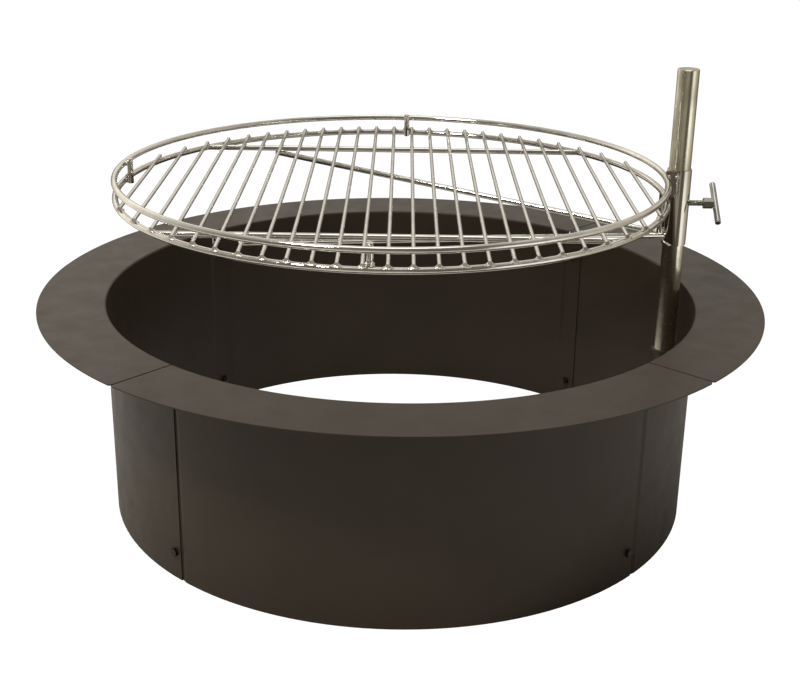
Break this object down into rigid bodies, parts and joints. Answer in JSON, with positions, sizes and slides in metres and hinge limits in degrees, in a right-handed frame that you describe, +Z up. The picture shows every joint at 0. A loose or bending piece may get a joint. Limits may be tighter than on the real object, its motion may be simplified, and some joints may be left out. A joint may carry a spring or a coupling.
{
  "type": "fire pit with grate",
  "caption": "Round flanged steel fire pit ring with a bottomless interior and a round cooking grate that swivels, slides up its post and locks with a tee screw.",
  "frame": {"origin": "axis of the fire ring at ground level", "axes": "+Z up; +X from the ring axis towards the post that carries the grate"},
  "size_m": [0.965, 0.965, 0.59],
  "materials": {
    "powder_coated_steel": "satin dark brown-black powder coat",
    "black_fasteners": "black oxide",
    "stake_steel": "dull steel",
    "plated_tube": "warm nickel plating",
    "plated_rod": "bright chrome plating",
    "zinc_screw": "zinc plating"
  },
  "bodies": {
    "ring": {"ring_panel_1": "powder_coated_steel", "ring_panel_2": "powder_coated_steel", "ring_panel_3": "powder_coated_steel", "ring_panel_4": "powder_coated_steel", "seam_bolts": "black_fasteners", "seam_washers": "black_fasteners", "seam_nuts": "black_fasteners", "ground_stake": "stake_steel", "stake_stop": "stake_steel"},
    "post": {"post_pipe": "plated_tube", "post_cap": "plated_tube"},
    "grate": {"collar_sleeve": "plated_tube", "collar_lug": "plated_rod", "grate_lower_ring": "plated_rod", "grate_upper_rail": "plated_rod", "cross_bar_front": "plated_rod", "cross_bar_rear": "plated_rod", "grate_rod_01": "plated_rod", "grate_rod_02": "plated_rod", "grate_rod_03": "plated_rod", "grate_rod_04": "plated_rod", "grate_rod_05": "plated_rod", "grate_rod_06": "plated_rod", "grate_rod_07": "plated_rod", "grate_rod_08": "plated_rod", "grate_rod_09": "plated_rod", "grate_rod_10": "plated_rod", "grate_rod_11": "plated_rod", "grate_rod_12": "plated_rod", "grate_rod_13": "plated_rod", "grate_rod_14": "plated_rod", "grate_rod_15": "plated_rod", "grate_rod_16": "plated_rod", "grate_rod_17": "plated_rod", "grate_rod_18": "plated_rod", "grate_rod_19": "plated_rod", "grate_rod_20": "plated_rod", "grate_rod_21": "plated_rod", "grate_rod_22": "plated_rod", "grate_rod_23": "plated_rod", "grate_rod_24": "plated_rod", "grate_rod_25": "plated_rod", "rail_tie_front": "plated_rod", "rail_tie_rear": "plated_rod", "rail_tie_left": "plated_rod", "support_arm_front": "plated_rod", "support_arm_rear": "plated_rod", "arm_strut": "plated_rod"},
    "screw": {"lock_screw": "zinc_screw"},
    "handle": {"tee_hub": "zinc_screw", "tee_bar": "zinc_screw"}
  },
  "joints": [
    {"name": "post_swivel", "type": "hinge", "parent": "ring", "child": "post", "pos_m": [0.36585, 0, 0.3], "axis": [0, 0, 1], "continuous": true},
    {"name": "grate_height", "type": "slide", "parent": "post", "child": "grate", "axis": [0, 0, 1], "range_m": [-0.06, 0.12]},
    {"name": "screw_travel", "type": "slide", "parent": "grate", "child": "screw", "axis": [1, 0, 0], "range_m": [0, 0.0013]},
    {"name": "handle_turn", "type": "hinge", "parent": "screw", "child": "handle", "pos_m": [0.4, 0, 0.413], "axis": [1, 0, 0], "range_deg": [0, 360]}
  ],
  "couplings": [
    {"joint": "screw_travel", "follows": "handle_turn", "m_per_rad": 0.00019894}
  ]
}
